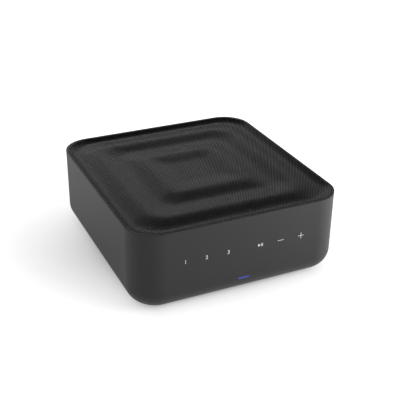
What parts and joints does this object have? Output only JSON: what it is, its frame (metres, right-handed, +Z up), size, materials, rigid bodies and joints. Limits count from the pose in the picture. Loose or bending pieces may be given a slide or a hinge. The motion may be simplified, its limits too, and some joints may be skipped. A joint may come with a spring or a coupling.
{
  "type": "streaming amplifier",
  "caption": "Compact table-top amplifier: rounded square case, rippled perforated top, touch signs in front, sockets and screw terminals in a rear recess.",
  "frame": {"origin": "middle of the footprint, speaker terminals included, on the surface that the feet stand on", "axes": "+X to the right as seen from the front, +Y from the touch front to the back with the sockets, +Z up"},
  "size_m": [0.217, 0.242, 0.085],
  "materials": {
    "case_plastic": "fine moulded grain, satin",
    "grille_plastic": "fine moulded grain, satin",
    "inner_plastic": "moulded",
    "screw_steel": "black zinc",
    "sheet_steel": "powder coated",
    "foot_rubber": "matt",
    "panel_plastic": "fine spark grain",
    "gilt_brass": "gold plated",
    "red_plastic": "moulded",
    "black_plastic": "moulded",
    "white_plastic": "moulded",
    "violet_plastic": "moulded",
    "button_plastic": "moulded",
    "circuit_board": "solder mask",
    "plated_brass": "nickel plated",
    "socket_plastic": "moulded",
    "socket_steel": "nickel plated",
    "foam_rubber": "conductive foam",
    "light_guide": "clear, lit blue",
    "sink_aluminium": "extruded",
    "chip_plastic": "moulded",
    "ferrite": "sintered",
    "tape_plastic": "winding tape",
    "sleeve_plastic": "shrink sleeve",
    "flex_film": "film"
  },
  "bodies": {
    "root": {"cabinet": "case_plastic", "top_grille": "grille_plastic", "grille_carrier": "inner_plastic", "carrier_screws": "screw_steel", "base_plate": "sheet_steel", "base_screws": "screw_steel", "rubber_feet": "foot_rubber", "rear_panel": "panel_plastic", "panel_screws": "screw_steel", "terminal_block": "inner_plastic", "terminal_studs": "gilt_brass", "plus_collars": "red_plastic", "minus_collars": "black_plastic", "power_board": "circuit_board", "network_board": "circuit_board", "board_standoffs": "plated_brass", "board_screws": "screw_steel", "network_socket": "socket_plastic", "network_contacts": "gilt_brass", "media_socket": "socket_steel", "media_tongue": "white_plastic", "video_socket": "socket_steel", "video_tongue": "socket_plastic", "optical_socket": "socket_plastic", "phono_housings": "socket_plastic", "phono_barrels": "socket_steel", "phono_core_left": "white_plastic", "phono_core_right": "red_plastic", "phono_core_sub": "violet_plastic", "mini_sockets": "socket_plastic", "mains_inlet": "socket_plastic", "mains_pins": "plated_brass", "button_switches": "socket_plastic", "touch_board": "circuit_board", "touch_pads": "foam_rubber", "status_light": "light_guide", "status_lamp": "white_plastic", "heat_sink": "sink_aluminium", "amplifier_chips": "chip_plastic", "transformer_core": "ferrite", "transformer_winding": "tape_plastic", "reservoir_capacitors": "sleeve_plastic", "output_coils": "ferrite", "mains_filter": "ferrite", "processor_shield": "socket_steel", "radio_module": "socket_steel", "flex_plugs": "white_plastic", "flex_cable": "flex_film"},
    "clamp_left_plus": {"terminal_clamp_left_plus": "gilt_brass"},
    "cap_left_plus": {"terminal_cap_left_plus": "red_plastic"},
    "clamp_left_minus": {"terminal_clamp_left_minus": "gilt_brass"},
    "cap_left_minus": {"terminal_cap_left_minus": "black_plastic"},
    "clamp_right_plus": {"terminal_clamp_right_plus": "gilt_brass"},
    "cap_right_plus": {"terminal_cap_right_plus": "red_plastic"},
    "clamp_right_minus": {"terminal_clamp_right_minus": "gilt_brass"},
    "cap_right_minus": {"terminal_cap_right_minus": "black_plastic"},
    "setup_button": {"setup_button": "button_plastic"},
    "pairing_button": {"pairing_button": "button_plastic"},
    "optical_shutter": {"optical_shutter": "socket_plastic"}
  },
  "joints": [
    {"name": "clamp_slide_left_plus", "type": "slide", "parent": "root", "child": "clamp_left_plus", "axis": [0, 1, 0], "range_m": [0, 0.0032]},
    {"name": "cap_turn_left_plus", "type": "hinge", "parent": "clamp_left_plus", "child": "cap_left_plus", "pos_m": [-0.0065, 0.115, 0.036], "axis": [0, 1, 0], "range_deg": [0, 1440]},
    {"name": "clamp_slide_left_minus", "type": "slide", "parent": "root", "child": "clamp_left_minus", "axis": [0, 1, 0], "range_m": [0, 0.0032]},
    {"name": "cap_turn_left_minus", "type": "hinge", "parent": "clamp_left_minus", "child": "cap_left_minus", "pos_m": [-0.0255, 0.115, 0.036], "axis": [0, 1, 0], "range_deg": [0, 1440]},
    {"name": "clamp_slide_right_plus", "type": "slide", "parent": "root", "child": "clamp_right_plus", "axis": [0, 1, 0], "range_m": [0, 0.0032]},
    {"name": "cap_turn_right_plus", "type": "hinge", "parent": "clamp_right_plus", "child": "cap_right_plus", "pos_m": [-0.0445, 0.115, 0.036], "axis": [0, 1, 0], "range_deg": [0, 1440]},
    {"name": "clamp_slide_right_minus", "type": "slide", "parent": "root", "child": "clamp_right_minus", "axis": [0, 1, 0], "range_m": [0, 0.0032]},
    {"name": "cap_turn_right_minus", "type": "hinge", "parent": "clamp_right_minus", "child": "cap_right_minus", "pos_m": [-0.0635, 0.115, 0.036], "axis": [0, 1, 0], "range_deg": [0, 1440]},
    {"name": "setup_button_press", "type": "slide", "parent": "root", "child": "setup_button", "axis": [0, -1, 0], "range_m": [0, 0.0005], "stiffness_N_per_m": 1000, "springref_m": -0.0005},
    {"name": "pairing_button_press", "type": "slide", "parent": "root", "child": "pairing_button", "axis": [0, -1, 0], "range_m": [0, 0.0005], "stiffness_N_per_m": 1000, "springref_m": -0.0005},
    {"name": "optical_shutter_swing", "type": "hinge", "parent": "root", "child": "optical_shutter", "pos_m": [0.00726, 0.1004, 0.0612], "axis": [-1, 0, 0], "range_deg": [0, 80], "stiffness_Nm_per_rad": 0.00002, "springref_deg": -11.46}
  ],
  "couplings": [
    {"joint": "cap_turn_left_plus", "follows": "clamp_slide_left_plus", "rad_per_m": 7854},
    {"joint": "cap_turn_left_minus", "follows": "clamp_slide_left_minus", "rad_per_m": 7854},
    {"joint": "cap_turn_right_plus", "follows": "clamp_slide_right_plus", "rad_per_m": 7854},
    {"joint": "cap_turn_right_minus", "follows": "clamp_slide_right_minus", "rad_per_m": 7854}
  ]
}
